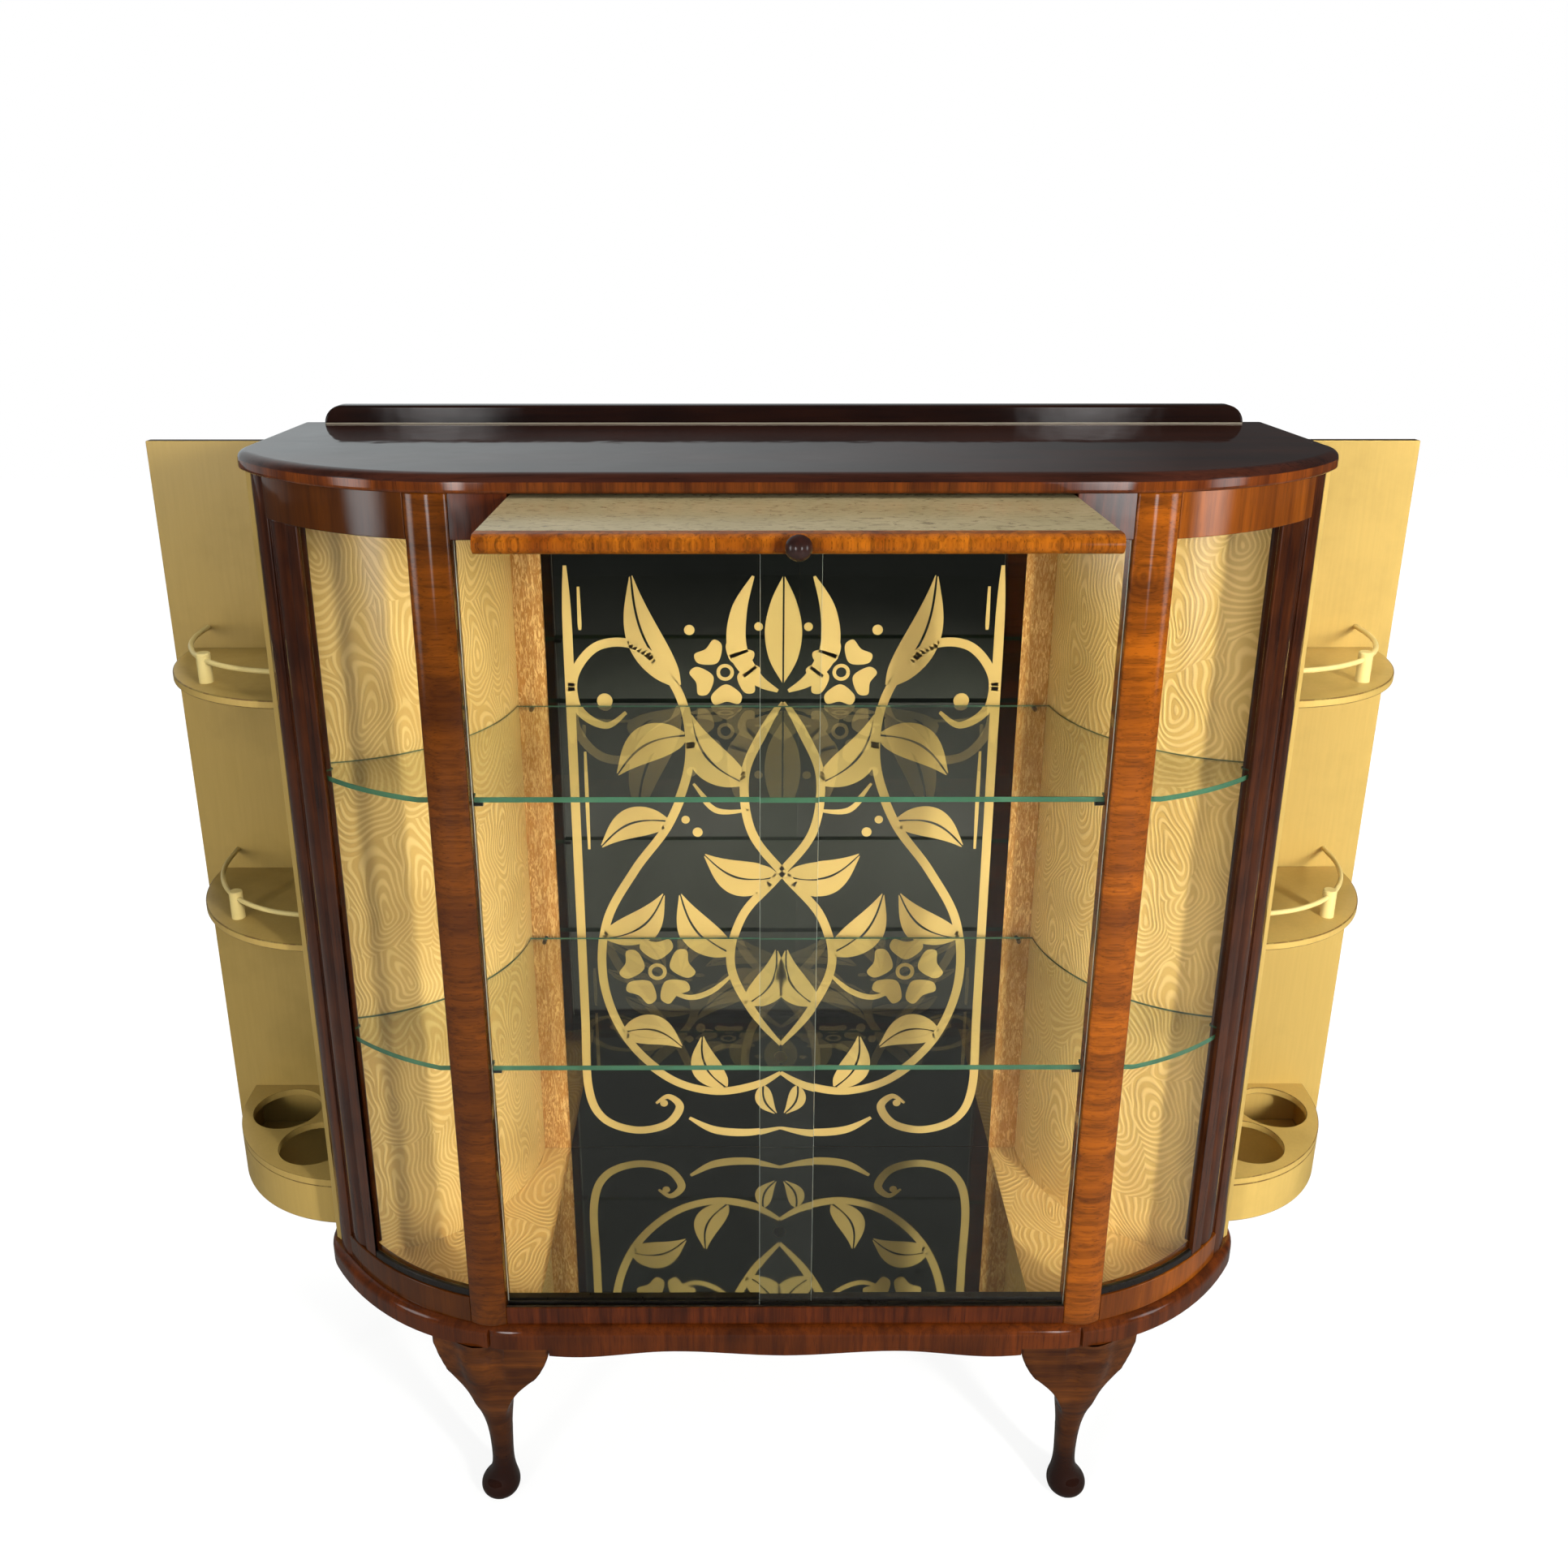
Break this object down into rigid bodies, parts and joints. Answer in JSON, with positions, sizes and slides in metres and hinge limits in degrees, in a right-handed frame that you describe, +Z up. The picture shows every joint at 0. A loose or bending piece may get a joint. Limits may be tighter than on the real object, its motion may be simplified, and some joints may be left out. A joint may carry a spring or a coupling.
{
  "type": "bar cabinet",
  "caption": "Bow-ended walnut bar cabinet: glazed display with sliding glass doors, pull-out serving slide and swing-out side wings with shelves and bottle racks.",
  "frame": {"origin": "middle of the underside of the bounding box, on the floor", "axes": "+Z up, +X to the right seen from the front, +Y towards the back"},
  "size_m": [1.4178, 0.5476, 1.188],
  "materials": {
    "walnut": "figured walnut veneer under high gloss lacquer",
    "dark_wood": "ebonised hardwood, semi gloss",
    "painted_cream": "cream gloss lacquer on plywood",
    "rail_wood": "cream gloss lacquer on turned beech and bent rod",
    "gold_vinyl": "embossed gold vinyl with a swirled pattern",
    "clear_glass": "clear float glass with ground edges",
    "mirror_glass": "silvered mirror",
    "plain_board": "plain stained plywood and hardwood",
    "laminate": "mottled fawn grey laminate, satin",
    "black_plastic": "black moulded plastic",
    "brass": "lacquered brass"
  },
  "bodies": {
    "carcass": {"back_gallery": "walnut", "back_mirror": "mirror_glass", "back_panel": "plain_board", "back_strips": "gold_vinyl", "base_board": "walnut", "centre_frieze": "walnut", "door_track": "black_plastic", "fixed_hinge_leaves": "brass", "floor_lining": "gold_vinyl", "floor_mirror": "mirror_glass", "front_apron": "walnut", "front_rail": "walnut", "glazing_beads": "dark_wood", "hinge_pins": "brass", "jamb_strips": "painted_cream", "left_column": "walnut", "left_curved_frieze": "walnut", "left_curved_glass": "clear_glass", "left_curved_rail": "walnut", "left_curved_wall": "gold_vinyl", "left_front_leg": "walnut", "left_side_post": "walnut", "leg_ears": "walnut", "lower_glass_shelf": "clear_glass", "mirror_battens": "plain_board", "mirror_board": "plain_board", "rear_legs": "walnut", "rear_stiles": "plain_board", "right_column": "walnut", "right_curved_frieze": "walnut", "right_curved_glass": "clear_glass", "right_curved_rail": "walnut", "right_curved_wall": "gold_vinyl", "right_front_leg": "walnut", "right_side_post": "walnut", "shelf_pegs": "black_plastic", "slide_runners": "plain_board", "top_board": "walnut", "upper_glass_shelf": "clear_glass"},
    "serving_slide": {"slide_board": "plain_board", "slide_laminate": "laminate", "slide_lip": "walnut", "slide_knob": "dark_wood", "slide_stop": "plain_board"},
    "left_wing": {"left_wing_panel": "painted_cream", "left_wing_shelves": "painted_cream", "left_wing_rails": "rail_wood", "left_rack_plate": "painted_cream", "left_rack_skirt": "painted_cream", "left_rack_floor": "painted_cream", "left_wing_hinge_leaves": "brass"},
    "right_wing": {"right_wing_panel": "painted_cream", "right_wing_shelves": "painted_cream", "right_wing_rails": "rail_wood", "right_rack_plate": "painted_cream", "right_rack_skirt": "painted_cream", "right_rack_floor": "painted_cream", "right_wing_hinge_leaves": "brass"},
    "left_glass_door": {"left_glass_door": "clear_glass"},
    "right_glass_door": {"right_glass_door": "clear_glass"}
  },
  "joints": [
    {"name": "serving_slide", "type": "slide", "parent": "carcass", "child": "serving_slide", "axis": [0, 1, 0], "range_m": [0, 0.163]},
    {"name": "left_wing_hinge", "type": "hinge", "parent": "carcass", "child": "left_wing", "pos_m": [-0.50997, 0.26005, 0.7], "axis": [0, 0, 1], "range_deg": [0, 90]},
    {"name": "right_wing_hinge", "type": "hinge", "parent": "carcass", "child": "right_wing", "pos_m": [0.50997, 0.26005, 0.7], "axis": [0, 0, -1], "range_deg": [0, 90]},
    {"name": "left_glass_door_slide", "type": "slide", "parent": "carcass", "child": "left_glass_door", "axis": [1, 0, 0], "range_m": [0, 0.272]},
    {"name": "right_glass_door_slide", "type": "slide", "parent": "carcass", "child": "right_glass_door", "axis": [-1, 0, 0], "range_m": [0, 0.272]}
  ]
}
